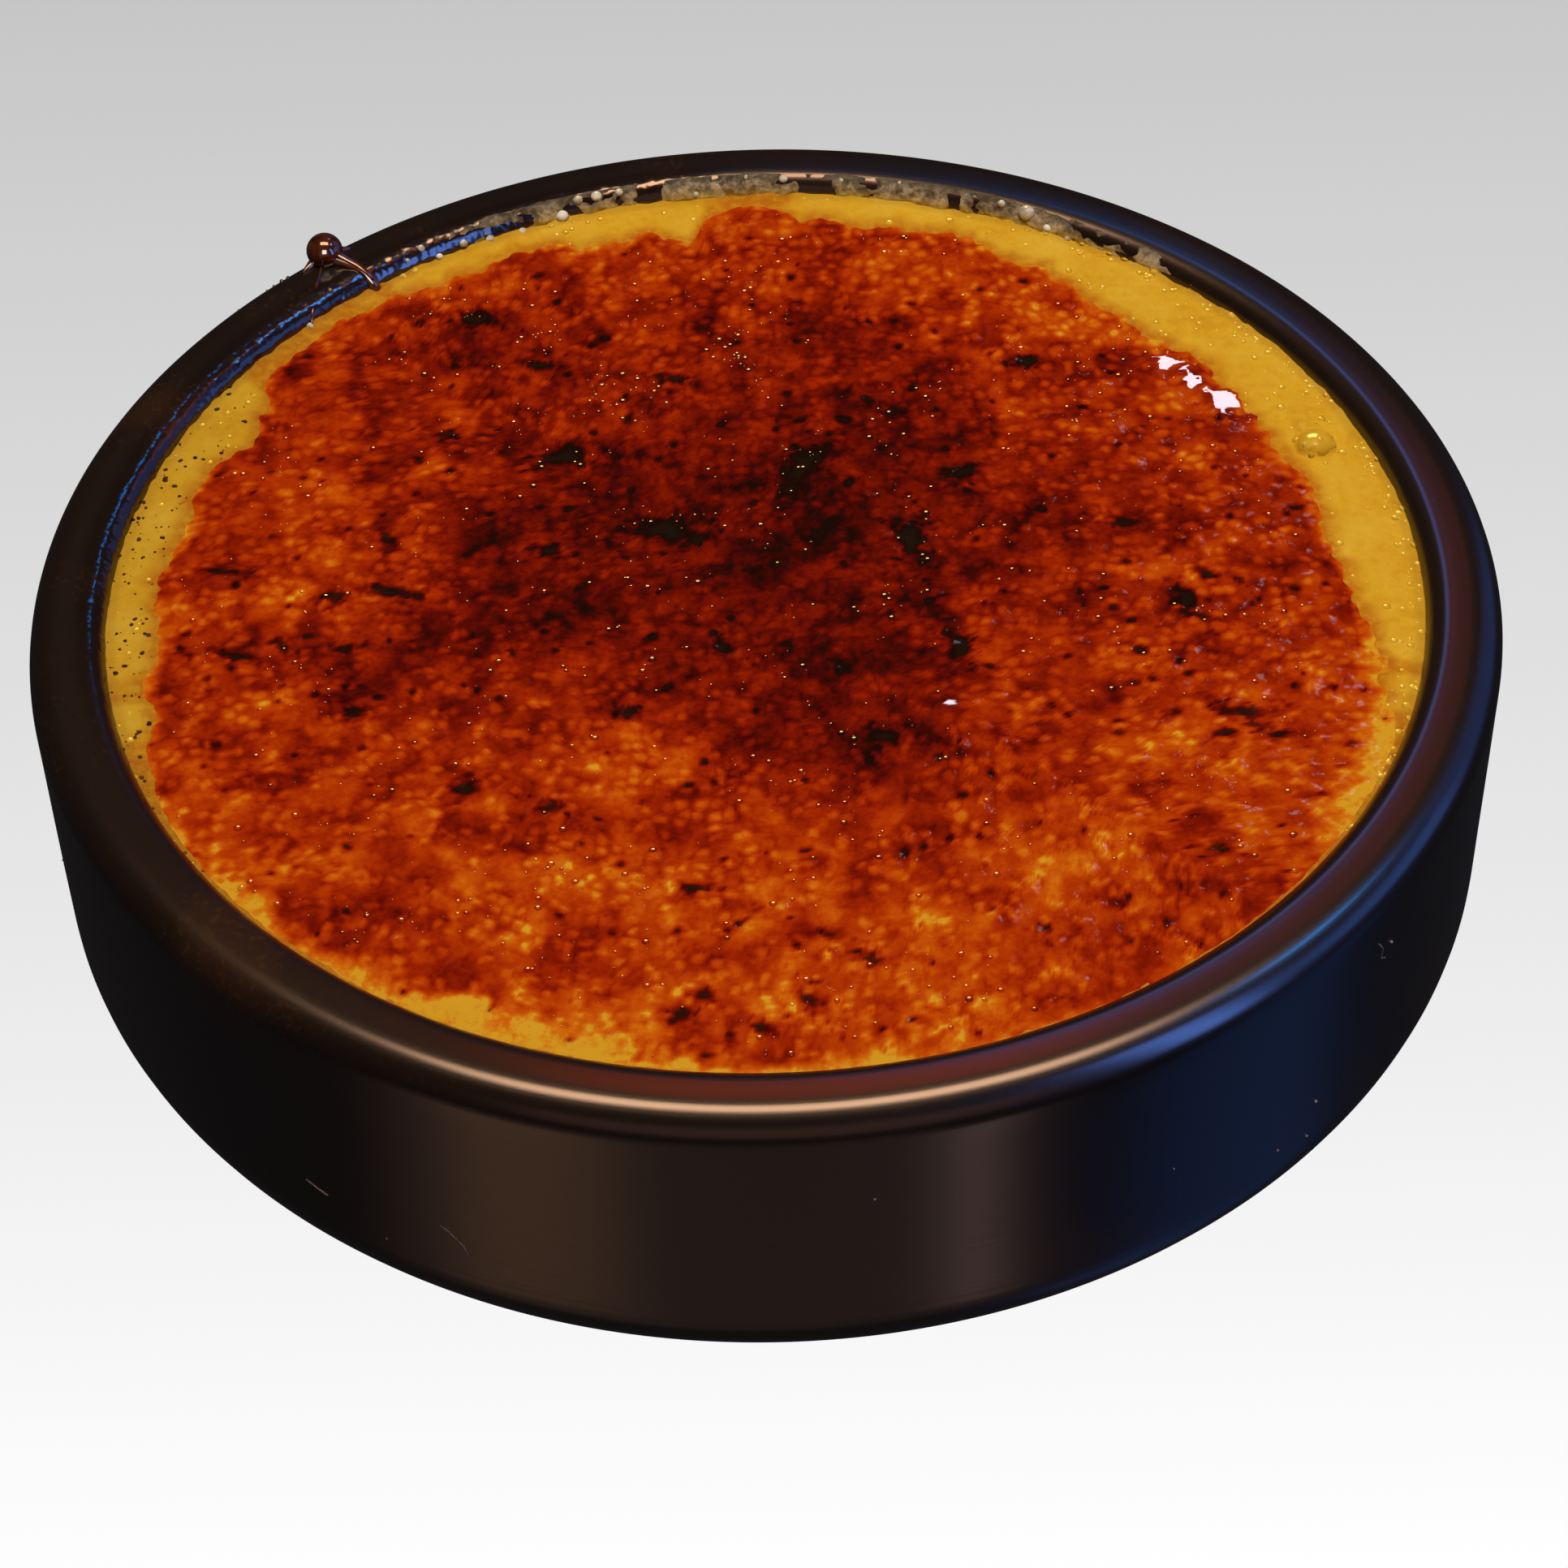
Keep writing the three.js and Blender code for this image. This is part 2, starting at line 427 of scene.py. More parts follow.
def buildDish(d):
    body = dishProfile(d)
    steps = d["steps"]
    angle = np.arange(steps) * 2 * math.pi / steps
    radius = body[:, 0][:, None] + np.zeros(steps)
    height = body[:, 1][:, None] + np.zeros(steps)
    x = radius * np.cos(angle)
    y = radius * np.sin(angle)
    share = ease(height, 2, 12)
    swell = d["wobble"] * (softNoise(x, y + 3 * height, 38, 11) + 0.5 * softNoise(x, y, 15, 12)) * share
    radius = radius + swell
    top = ease(height, 24, 29.5)
    height = height + top * 0.05 * softNoise(60 * np.cos(angle), 60 * np.sin(angle), 42, 13)[None, :]
    x = radius * np.cos(angle)
    y = radius * np.sin(angle)
    points = np.stack([x, y, height], -1).reshape(-1, 3)
    points = np.vstack([points, [(0, 0, 0), (0, 0, d["floor"])]])
    faces = closedFaces(len(body), steps)
    turn = np.degrees(np.arctan2(points[:, 1], points[:, 0])) % 360
    reach = np.hypot(points[:, 0], points[:, 1])
    inner = ease(-reach, -56.8, -55.4) * (points[:, 2] > 20)
    wet = inner * ease(turn, d["wetFrom"] - 12, d["wetFrom"]) * (1 - ease(turn, d["wetTo"] - 45, d["wetTo"]))
    return meshObject("dish_glazed", points * mm, faces, {"wet": wet})


def glazeMaterial():
    material, tree, shader, place = newMaterial("bronze_glaze")
    cloud = noiseNode(tree, place, 0.020, 2, 0.55)
    speck = noiseNode(tree, place, 0.00045, 1, 0.6)
    split = addNode(tree, "ShaderNodeSeparateXYZ", {"Vector": place}).outputs
    # bronze shows in clouds where the glaze ran thin; the bronze towards the foot and at the left is painted
    # warm reflection
    low = rangeNode(tree, split["Z"], 0.0, 0.024, 0.35, 0.0)
    left = rangeNode(tree, split["X"], -0.06, 0.02, 0.22, 0.0)
    clouds = rangeNode(tree, cloud, 0.42, 0.68, -0.1, 0.4)
    # thin adds the glaze's real thin clouds to the painted reflection at the foot and the left
    thin = mathNode(tree, "ADD", clouds, mathNode(tree, "ADD", low, left))
    grain = rangeNode(tree, speck, 0.55, 0.72, 0.0, 0.35)
    thin = mathNode(tree, "ADD", thin, grain, clamp=True)
    colour = rampNode(tree, thin, [
        (0.0, (0.0085, 0.0068, 0.0052)),
        (0.4, (0.0110, 0.0078, 0.0052)),
        (1.0, (0.0420, 0.0230, 0.0095)),
    ])
    wet = attributeNode(tree, "wet")
    # throwing lines run round the wall and the rim
    flat = addNode(tree, "ShaderNodeVectorMath", {0: place, 1: (1, 1, 0)}, operation="MULTIPLY")
    reach = addNode(tree, "ShaderNodeVectorMath", {0: flat.outputs[0]}, operation="LENGTH")
    wheel = addNode(tree, "ShaderNodeCombineXYZ", {"X": reach.outputs["Value"], "Y": split["Z"]})
    lines = noiseNode(tree, wheel.outputs[0], 0.00045, 2, 0.6)
    blots = noiseNode(tree, place, 0.0020, 2, 0.6)
    thrown = bumpNode(tree, lines, 0.000030, 0.3)
    wire(tree, shader, {
        "Base Color": colour,
        "IOR": 1.75,
        "Roughness": rangeNode(tree, wet, 0.0, 1.0, 0.27, 0.16),
        "Normal": bumpNode(tree, blots, 0.00030, mathNode(tree, "MULTIPLY", wet, 0.6), thrown),
    })
    return material


dishPiece = buildDish(dish)
dishPiece.data.materials.append(glazeMaterial())
print("dish made:", len(dishPiece.data.polygons), "faces")


# custard
custard = {
    "wallRadius": 53.76,     # just into the dish's wall
    "level": 27.80,
    "crown": 0.16,           # how far the ring stands up between crust and wall
    "climb": 0.28,           # what the custard climbs at the wall
    "sink": 0.75,            # how far it lies lower under the crust
    "bottom": 5.98,
    "side": [                # radius and height, from the rounded foot up
        (46.6, 6.8), (49.6, 9.4), (51.7, 13.5), (52.6, 18.5), (53.2, 24.0), (53.76, 27.2),
    ],
    "steps": 900,
    "ripples": [(0.07, 5.5, 42), (0.05, 1.9, 43), (0.03, 0.7, 44)],
    "bubble": (46.8, 16.6, 1.65, 0.95),   # x, y, radius, height
    "smallBubble": (-0.9, 2.3, 0.8, 0.45),   # the same, its place measured from the large one
    "sheetReach": 53.62,     # where the sheet ends at the near side
}
# where the browning ends: turn, radius
crustEdge = [
    (0, 47.6), (8, 46.9), (14, 47.4), (19, 47.0), (29, 46.4), (37, 47.6), (44, 46.7), (52, 47.6),
    (60, 49.3), (70, 50.2), (85, 50.3), (90, 52.6), (94, 51.0), (97, 47.5), (101, 50.1), (105, 49.4),
    (112, 50.8), (121, 50.7), (130, 52.2), (143, 52.2), (149, 49.6), (154, 48.1), (161, 50.3),
    (167, 49.1), (180, 49.6), (194, 51.2), (205, 53.0), (215, 53.2), (219, 51.8), (226, 53.6),
    (236, 53.0), (244, 50.0), (252, 52.2), (262, 52.4), (267, 53.2), (273, 53.6), (278, 52.6),
    (283, 53.6), (288, 54.6), (322, 54.6), (328, 52.2), (338, 52.2), (346, 51.2), (352, 49.9),
    (356, 48.3), (360, 47.6),
]


def edgeRadius(angle):
    # eased from point to point, then frayed
    turn = np.degrees(angle) % 360
    starts = np.array([p[0] for p in crustEdge], float)
    radii = np.array([p[1] for p in crustEdge])
    index = np.clip(np.searchsorted(starts, turn, side="right") - 1, 0, len(starts) - 2)
    share = (turn - starts[index]) / (starts[index + 1] - starts[index])
    share = soften(share)
    smooth = radii[index] * (1 - share) + radii[index + 1] * share
    x, y = 50 * np.cos(angle), 50 * np.sin(angle)
    fray = layeredNoise(x, y, [(0.55, 3.1, 31), (0.42, 1.3, 32), (0.22, 0.6, 33)])
    return smooth + fray * ease(-smooth, -53.4, -51.4)


def sheetRadius(angle):
    # at the near side the sheet runs on to the wall, pale where it is not browned
    turn = np.degrees(angle) % 360
    nearSide = ease(turn, 200, 212) * (1 - ease(turn, 336, 346))
    return edgeRadius(angle) * (1 - nearSide) + custard["sheetReach"] * nearSide


def custardHeight(c, x, y):
    reach = np.hypot(x, y)
    edge = sheetRadius(np.arctan2(y, x))
    ring = ease(reach, edge - 1.5, edge - 0.4)
    across = np.clip((reach - edge) / np.maximum(c["wallRadius"] - edge, 0.4), 0, 1)
    wide = ease(c["wallRadius"] - edge, 0.8, 3.5)
    height = c["level"] - c["sink"] * (1 - ring) + c["crown"] * ring * np.sin(math.pi * across) * wide
    height += c["climb"] * np.exp(-(c["wallRadius"] - reach) / 0.35) * (0.65 + 0.6 * softNoise(x, y, 1.1, 41))
    height += ring * layeredNoise(x, y, c["ripples"])
    # baked-in pits and tiny blisters
    near, _, tone = grainField(x, y, 1.25, 45)
    height -= ring * 0.12 * (tone > 0.86) * ease(-near, -0.22, -0.02)
    height += ring * 0.10 * (tone < 0.13) * ease(-near, -0.30, -0.05)
    # the large bubble, in its shallow ring, and the small one beside it
    bx, by, radius, rise = c["bubble"]
    away = np.hypot(x - bx, y - by) / radius
    height += rise * np.sqrt(np.clip(1 - away ** 2, 0, 1)) - 0.12 * np.exp(-((away - 1.12) / 0.14) ** 2)
    sx, sy, radius, rise = c["smallBubble"]
    away = np.hypot(x - bx - sx, y - by - sy) / radius
    height += rise * np.sqrt(np.clip(1 - away ** 2, 0, 1))
    return height


def buildCustard(c):
    steps = c["steps"]
    angle = np.arange(steps) * 2 * math.pi / steps
    reach = np.concatenate([np.linspace(c["wallRadius"], 44.2, 46), [42, 36, 24, 10]])
    x = reach[:, None] * np.cos(angle)
    y = reach[:, None] * np.sin(angle)
    top = np.stack([x, y, custardHeight(c, x, y)], -1)
    skirt = []
    for radius, level in [(20, c["bottom"]), (43.6, c["bottom"])] + c["side"]:
        ring = [radius * np.cos(angle), radius * np.sin(angle), np.full(steps, level)]
        skirt.append(np.stack(ring, -1))
    rings = np.stack(skirt + list(top))
    points = np.vstack([rings.reshape(-1, 3), [(0, 0, c["bottom"]), (0, 0, c["level"] - c["sink"])]])
    faces = closedFaces(len(rings), steps)
    px, py = points[:, 0], points[:, 1]
    far = np.hypot(px, py)
    rim = edgeRadius(np.arctan2(py, px))
    # burnt sugar stains the custard where the sheet thins out
    stain = 1 - ease(far, rim - 0.2, rim + 1.5 + 0.7 * softNoise(px, py, 1.6, 46))
    stain = np.maximum(stain, ease(rim + 0.5 * softNoise(px, py, 2.0, 47), 50.9, 52.0))
    # painted shade: this share darkens the custard next to the dish's wall
    wall = ease(far, 52.4, 53.6)
    turn = np.degrees(np.arctan2(py, px)) % 360
    top = (points[:, 2] > 27.3) * (far > rim + 0.2)
    rightSide = ease(np.abs((turn + 180) % 360 - 180), 75, 50)
    foam = top * rightSide * (0.12 + ease(far, 51.4, 52.8)) + top * 0.10
    peppered = top * ease(np.abs(turn - 182), 42, 26)
    return meshObject("custard_top", points * mm, faces, {
        "stain": stain, "wall": wall, "foam": foam, "peppered": peppered})


def custardMaterial():
    material, tree, shader, place = newMaterial("baked_custard")
    broad = noiseNode(tree, place, 0.007, 3, 0.55)
    fine = noiseNode(tree, place, 0.0009, 3, 0.6)
    mostly, partly = mathNode(tree, "MULTIPLY", broad, 0.6), mathNode(tree, "MULTIPLY", fine, 0.4)
    tone = mathNode(tree, "ADD", mostly, partly)
    yolk = rampNode(tree, tone, [
        (0.32, (0.62, 0.280, 0.011)),
        (0.48, (0.70, 0.360, 0.019)),
        (0.66, (0.74, 0.420, 0.036)),
    ])
    blotchy = rangeNode(tree, fine, 0.3, 0.62, 0.45, 1.15)
    stain = mathNode(tree, "MULTIPLY", attributeNode(tree, "stain"), blotchy)
    stain = mathNode(tree, "MULTIPLY", stain, 0.75, clamp=True)
    stained = mixColour(tree, stain, yolk, (0.46, 0.105, 0.003))
    # painted shade next to the wall, mixed towards a dark brown
    wall = rangeNode(tree, attributeNode(tree, "wall"), 0.0, 1.0, 0.0, 0.28)
    dark = mixColour(tree, wall, stained, (0.24, 0.10, 0.010))
    split = addNode(tree, "ShaderNodeSeparateXYZ", {"Vector": place})
    # painted shade: the custard's left side is darkened
    leftShade = rangeNode(tree, split.outputs["X"], -0.052, -0.020, 0.24, 0.0)
    pores = noiseNode(tree, place, 0.00070, 2, 0.6)
    bumps = bumpNode(tree, pores, 0.00020, 0.8)
    wire(tree, shader, {
        "Base Color": mixColour(tree, leftShade, dark, (0.20, 0.11, 0.010)),
        "Roughness": rangeNode(tree, fine, 0.3, 0.7, 0.30, 0.52),
        "Specular IOR Level": 0.1,
        "Coat Weight": 0.15,
        "Coat Roughness": 0.16,
        "Normal": bumps,
        "Coat Normal": bumps,
    })
    return material


custardPiece = buildCustard(custard)
custardPiece.data.materials.append(custardMaterial())
print("custard made:", len(custardPiece.data.polygons), "faces")


# caramel sheet
crust = {
    "level": 28.02,          # middle of the top
    "bottom": 26.9,
    "grid": 308,             # quads along a side before the square is drawn out to a disc
    "evenRadius": 49.5,      # the grid's own radius, before its outer part follows the edge
    "grain": 1.25,           # sugar grains, melted together
    "grainRise": 0.065,
    "burn": 0.505,           # how far the whole sheet is browned, 0 custard yellow to 1 black
    "swells": [(0.15, 8.5, 69), (0.045, 3.1, 70), (0.012, 0.9, 71)],
}
# where the torch dwelt: x, y, radius, darker (+) or lighter (-)
torch = [
    (3, 9, 17, 0.33), (2, 16, 7, 0.03), (10, -6, 9, 0.10), (-17, 3, 9, 0.12), (-12, 17, 7, 0.10),
    (-24, 34, 7, 0.22), (5, 33, 9, 0.20), (14, 22, 8, 0.12), (-7, 40, 8, 0.05), (-32, -7, 7, 0.12),
    (-45, 2, 5, 0.08), (47, -3, 4, 0.14), (27, 3, 9, 0.08), (-40, -20, 7, 0.06), (-27, -40, 6, 0.05),
    (4, -22, 8, 0.07), (-35, 10, 6, -0.12), (21, 42, 8, -0.12), (10, -38, 14, -0.13),
    (37, -19, 11, -0.08), (-18, -17, 6, -0.06), (-14, -47, 7, -0.10), (31, 37, 5, -0.10),
    (-12, 46, 6, -0.10), (36, 20, 8, 0.05), (-44, -13, 5, -0.10), (14, -49, 9, -0.06),
    (-40, 28, 6, 0.07), (-21, 0, 13, 0.10), (4, -16, 8, 0.12), (4, -11, 10, 0.09), (15, 10, 8, 0.07),
    (-4, 25, 7, 0.07), (3, 3, 9, 0.05), (-36, -6, 7, 0.07), (-37, 24, 7, 0.07), (-34, -26, 7, 0.07),
    (-22, 12, 8, 0.06), (9, -26, 8, 0.05), (-24, -35, 8, -0.06), (-5, -38, 7, -0.05),
    (-17, 29, 9, 0.05), (-15, 45, 6, 0.07), (-36, 24, 6, 0.05), (-46, 8, 6, 0.08), (-25, 8, 7, 0.05),
    (-15, -5, 6, 0.14), (25, -5, 6, 0.09), (-25, -15, 6, 0.09), (-6, -12, 7, 0.04), (15, -16, 6, 0.08),
    (15, -26, 6, 0.06), (34, 10, 8, 0.06), (24, 12, 6, 0.03), (-4, -45, 6, -0.10), (-34, -8, 6, 0.04),
    (5, 26, 5, -0.04), (-15, 6, 5, -0.06), (15, -5, 4, -0.08), (-34, -24, 6, 0.04), (5, 16, 5, -0.06),
    (5, -5, 5, -0.06), (5, 26, 4, -0.03), (5, 45, 6, -0.06), (-15, 5, 5, -0.04), (-25, -5, 5, -0.03),
    (-15, 46, 6, 0.06), (-46, 14, 5, 0.07), (-45, 5, 4, 0.03), (-25, -15, 5, 0.03), (25, -5, 5, 0.03),
    (-5, -46, 5, -0.07),
]
# charred spots: x, y, half length, half width, turn
chars = [
    (3.6, 15.8, 2.0, 1.0, 60), (-7.2, 28.0, 0.9, 0.8, 0), (-8.0, 8.2, 1.9, 0.9, -10),
    (-5.2, 7.0, 1.0, 0.5, 20), (12.2, 6.2, 0.8, 2.2, 5), (-16.5, 17.8, 1.4, 0.8, 15),
    (23.0, 28.8, 1.2, 0.6, 0), (29.6, 7.4, 1.2, 0.5, 10), (34.4, -2.4, 0.6, 1.4, 20),
    (35.3, -4.4, 0.9, 0.4, -35), (36.4, 0.6, 0.8, 0.4, -30), (-35.0, 1.2, 0.9, 0.7, 0),
    (-31.0, 1.6, 1.6, 0.6, -5), (-28.4, 1.0, 0.5, 0.5, 0), (-31.2, 8.0, 0.5, 1.0, 40),
    (15.6, -7.4, 0.6, 1.2, 10), (37.6, -16.0, 1.3, 0.7, -8), (35.6, -18.4, 0.7, 0.4, 0),
    (40.0, -18.8, 0.8, 0.3, -10), (-24.0, -22.0, 1.1, 0.8, 0), (-17.2, -24.4, 0.7, 0.7, 0),
    (34.2, -31.4, 0.7, 0.6, 0), (-6.0, -33.8, 1.4, 0.35, -10), (7.2, -42.0, 1.5, 0.6, -15),
    (4.2, -39.2, 0.5, 0.5, 0), (2.2, -45.8, 0.7, 1.0, 30), (-7.4, -47.2, 0.9, 0.6, 10),
    (-5.6, -45.2, 0.6, 0.6, 0), (-1.2, -48.6, 0.6, 0.5, 0), (-34.0, -5.4, 0.7, 0.4, 25),
    (-33.2, -13.2, 0.5, 0.5, 0), (-42.2, -5.8, 1.2, 0.35, -15), (-39.2, -4.8, 0.8, 0.3, -60),
    (30.2, -8.6, 0.6, 0.5, 0), (-11.2, -14.0, 0.6, 0.5, 0), (-44.8, 4.6, 1.5, 0.3, -8),
    (-26.6, 21.6, 0.9, 0.4, 10), (-18.6, 30.4, 1.2, 0.5, 0), (-24.4, 36.8, 1.6, 0.7, -20),
    (26.4, -36.8, 0.5, 0.4, 0), (20.6, -39.4, 0.5, 0.4, 0), (-2.6, -37.6, 1.1, 0.3, 40),
    (-17.6, 6.0, 0.7, 0.5, 0), (17.0, 14.6, 0.9, 0.5, 30), (-3.6, -6.4, 0.6, 0.6, 0),
    (9.0, -17.6, 0.8, 0.5, 0), (44.2, 8.6, 0.6, 0.3, 0),
]
# smooth glassy places that throw back the window: x, y, half length, half width, turn
panes = [
    (35.6, 27.6, 2.3, 1.5, -20), (37.4, 25.2, 1.9, 1.3, -60), (39.9, 22.4, 2.2, 1.8, -30),
    (14.3, -14.1, 1.1, 0.7, 20),
]
windowPlace = Vector((0.20, 0.66, 0.66))


def patchField(x, y, patches, fray=0.0, seed=50):
    # nearness to the closest of some ragged ovals: 1 at a middle, 0 at a rim
    wobble = 1 + fray * (softNoise(x, y, 0.8, seed) + 0.6 * softNoise(x, y, 0.35, seed + 1))
    field = np.full(x.shape, -9.0)
    for px, py, half, width, turn in patches:
        c, s = math.cos(math.radians(turn)), math.sin(math.radians(turn))
        dx, dy = x - px, y - py
        away = np.hypot((dx * c + dy * s) / half, (dy * c - dx * s) / width)
        field = np.maximum(field, 1 - away * wobble)
    return field


def crustFields(c, x, y):
    reach = np.hypot(x, y)
    turn = np.arctan2(y, x)
    inside = sheetRadius(turn) - reach
    brown = edgeRadius(turn) - reach
    wx, wy = x + 0.4 * softNoise(x, y, 1.9, 61), y + 0.4 * softNoise(x, y, 1.9, 62)
    near, gap, tone = grainField(wx, wy, c["grain"], 63)
    burn = c["burn"] + np.zeros_like(x)
    for tx, ty, radius, depth in torch:
        burn += depth * np.exp(-((x - tx) ** 2 + (y - ty) ** 2) / radius ** 2)
    grainy = 1 - ease(burn, 0.55, 0.85)
    blotch = 0.12 * softNoise(x, y, 5.2, 65)
    blotch += layeredNoise(wx, wy, [(0.13, 2.6, 66), (0.14, 1.4, 67), (0.07, 0.85, 55)])
    burn += blotch * (0.68 + 0.32 * grainy) + (tone - 0.5) * 0.12 - ease(gap, 0.0, 0.4) * 0.05 + 0.03
    # every other grain is paler in its middle
    burn -= 0.20 * (tone > 0.5) * (1 - ease(near, 0.14, 0.56)) * (0.5 + tone) * (0.4 + 0.6 * grainy)
    # towards its edge the sheet is thin and pale, here and there with a dark lip
    burn += 0.16 * ease(softNoise(x, y, 6.0, 68), 0.0, 0.6) * np.exp(-((brown - 1.9) / 1.0) ** 2)
    fade = 1.4 + 2.2 * ease(softNoise(x, y, 9.0, 57), -0.1, 0.7)
    thin = ease(brown + layeredNoise(x, y, [(0.5, 0.9, 58), (0.3, 0.45, 54)]), -0.6, fade - 0.4)
    burn = burn * (0.07 + 0.93 * thin) - 0.04 * (1 - ease(brown, 0.6, 4.0))
    burn += (1 - thin) * layeredNoise(x, y, [(0.07, 1.6, 53), (0.05, 0.7, 51)])
    # the listed spots, and small ones where a coarser grain happens to be darkest
    flake, _, flakeTone = grainField(wx, wy, 2.1, 59)
    char = patchField(x, y, chars, 0.55)
    dots = np.maximum(char, 1 - flake / (0.08 + 0.8 * (flakeTone - 0.88)))
    char = np.where(flakeTone > 0.88, dots, char)
    burn += (0.18 * ease(char, -1.1, -0.1) + 0.24 * ease(char, -0.2, 0.3)) * ease(brown, -1.5, 1.0)
    scorch = ease(char, -0.05, 0.75)
    # every grain stands up a little, less where the sugar has run
    relief = c["grainRise"] * (1 - ease(near, 0.05, 0.72)) * (0.35 + 0.9 * tone) * (0.35 + 0.65 * grainy)
    relief += layeredNoise(x, y, c["swells"])
    relief -= 0.10 * ease(char, 0.0, 0.8)
    # at its edge the sheet lies down on the custard
    beside = custard["level"] + 0.05 - 0.20 * (1 - ease(inside, 0.0, 0.4))
    for amount, size, seed in custard["ripples"][:2]:
        beside += amount * softNoise(x, y, size, seed)
    join = ease(inside, 0.3, 2.6)
    height = beside * (1 - join) + (c["level"] + relief) * join
    # each pane is tilted so that it throws the window to the eye
    pane = ease(patchField(x, y, panes, 0.35, 52), 0.0, 0.25)
    for px, py, half, width, _ in panes:
        spot = Vector((px * mm, py * mm, 0.028))
        tilt = (eye - spot).normalized() + (windowPlace - spot).normalized()
        here = np.hypot(x - px, y - py) < 1.3 * max(half, width)
        flat = c["level"] + 0.16 - (tilt.x / tilt.z) * (x - px) - (tilt.y / tilt.z) * (y - py)
        share = pane * here
        height = height * (1 - share) + flat * share
    # where small glassy beads stand: mostly left of and beyond the middle
    dew = 0.40 + np.exp(-((x + 3) / 13) ** 2 - ((y - 30) / 13) ** 2)
    dew += 0.25 * np.exp(-((x - 30) / 10) ** 2 - ((y - 24) / 8) ** 2)
    dew *= ease(softNoise(x, y, 3.4, 56), -0.35, 0.5) * (inside > 0.8)
    return height, {"burn": np.clip(burn, 0, 1.1), "pane": pane, "dew": dew, "scorch": scorch}


def discGrid(side):
    # a square grid drawn out to a disc of radius 1, its quads all of about one size
    line = np.linspace(-1, 1, side + 1)
    a, b = np.meshgrid(line, line, indexing="ij")
    wide = np.abs(a) > np.abs(b)
    safeA = np.where(np.abs(a) < 1e-9, 1e-9, a)
    safeB = np.where(np.abs(b) < 1e-9, 1e-9, b)
    turn = np.where(wide, math.pi / 4 * b / safeA, math.pi / 2 - math.pi / 4 * a / safeB)
    radius = np.where(wide, a, b)
    return radius * np.cos(turn), radius * np.sin(turn)


def buildCrust(c):
    side = c["grid"]
    ux, uy = discGrid(side)
    reach = np.hypot(ux, uy)
    edge = sheetRadius(np.arctan2(uy, ux))
    # only the outer part follows the frayed edge, so that the grid stays even inside
    follow = ease(reach, 0.75, 1.0)
    radius = reach * (c["evenRadius"] * (1 - follow) + edge * follow)
    angle = np.arctan2(uy, ux)
    x, y = radius * np.cos(angle), radius * np.sin(angle)
    height, fields = crustFields(c, x, y)
    count = side + 1
    points = np.stack([x, y, height], -1).reshape(-1, 3)
    i, j = np.meshgrid(np.arange(side), np.arange(side), indexing="ij")
    a = i * count + j
    faces = np.stack([a, a + count, a + count + 1, a + 1], -1).reshape(-1, 4).tolist()
    rim = [(k, 0) for k in range(side)] + [(side, k) for k in range(side)]
    rim += [(side - k, side) for k in range(side)] + [(0, side - k) for k in range(side)]
    loop = np.array([p[0] * count + p[1] for p in rim])
    low = points[loop]
    low[:, 2] = c["bottom"]
    start, size = len(points), len(loop)
    points = np.vstack([points, low, [(0, 0, c["bottom"])]])
    for k in range(size):
        after = (k + 1) % size
        faces.append((start + k, start + after, int(loop[after]), int(loop[k])))
        faces.append((start + size, start + after, start + k))
    # below the top the sheet is half browned and carries nothing else
    below = {"burn": 0.5, "pane": 0.0, "dew": 0.0, "scorch": 0.0}
    data = {key: np.append(fields[key].ravel(), np.full(size + 1, value)) for key, value in below.items()}
    piece = meshObject("caramel_sheet", points * mm, faces, data)
    piece.data.validate()
    return piece


# thin pale caramel, through amber and red-brown, to charred
caramelColours = [
    (0.00, (0.66, 0.32, 0.017)),
    (0.10, (0.62, 0.150, 0.006)),
    (0.22, (0.545, 0.082, 0.003)),
    (0.36, (0.445, 0.040, 0.0016)),
    (0.50, (0.330, 0.019, 0.0012)),
    (0.64, (0.210, 0.0088, 0.0012)),
    (0.78, (0.110, 0.0042, 0.0015)),
    (0.90, (0.045, 0.0030, 0.0017)),
    (1.00, (0.012, 0.0035, 0.0018)),
]


def crustMaterial():
    material, tree, shader, place = newMaterial("burnt_caramel")
    fine = noiseNode(tree, place, 0.00050, 2, 0.62)
    medium = noiseNode(tree, place, 0.0017, 2, 0.6)
    wander = rangeNode(tree, fine, 0.25, 0.75, -0.06, 0.06, smooth=False)
    drift = rangeNode(tree, medium, 0.25, 0.75, -0.07, 0.07, smooth=False)
    stray = mathNode(tree, "ADD", wander, drift)
    level = mathNode(tree, "ADD", attributeNode(tree, "burn"), stray, clamp=True)
    colour = rampNode(tree, level, caramelColours)
    scorch = rangeNode(tree, attributeNode(tree, "scorch"), 0.15, 1.0, 0.0, 0.85)
    pane = attributeNode(tree, "pane")
    rough = rangeNode(tree, medium, 0.35, 0.65, 0.22, 0.42)
    shine = noiseNode(tree, place, 0.0011, 1, 0.5)
    gloss = rangeNode(tree, shine, 0.58, 0.66, 0.0, 0.15)
    keep = rangeNode(tree, pane, 0, 1, 1, 0.02)
    bumps = bumpNode(tree, fine, 0.00010, mathNode(tree, "MULTIPLY", keep, 0.25))
    wire(tree, shader, {
        "Base Color": mixColour(tree, scorch, colour, (0.014, 0.0075, 0.0038)),
        "Roughness": mathNode(tree, "MULTIPLY", rough, rangeNode(tree, pane, 0, 1, 1, 0.15)),
        "Specular IOR Level": 0.0,
        "Coat Weight": mathNode(tree, "MAXIMUM", gloss, pane),
        "Coat Roughness": 0.09,
        "Coat IOR": 1.5,
        "Normal": bumps,
        "Coat Normal": bumps,
    })
    return material


crustPiece = buildCrust(crust)
crustPiece.data.materials.append(crustMaterial())
print("caramel sheet made:", len(crustPiece.data.polygons), "faces")


# glassy sugar beads on the sheet
beads = {"mask": "dew", "seed": 5, "density": 70, "smallest": 0.09, "largest": 0.38, "bias": 2.8}


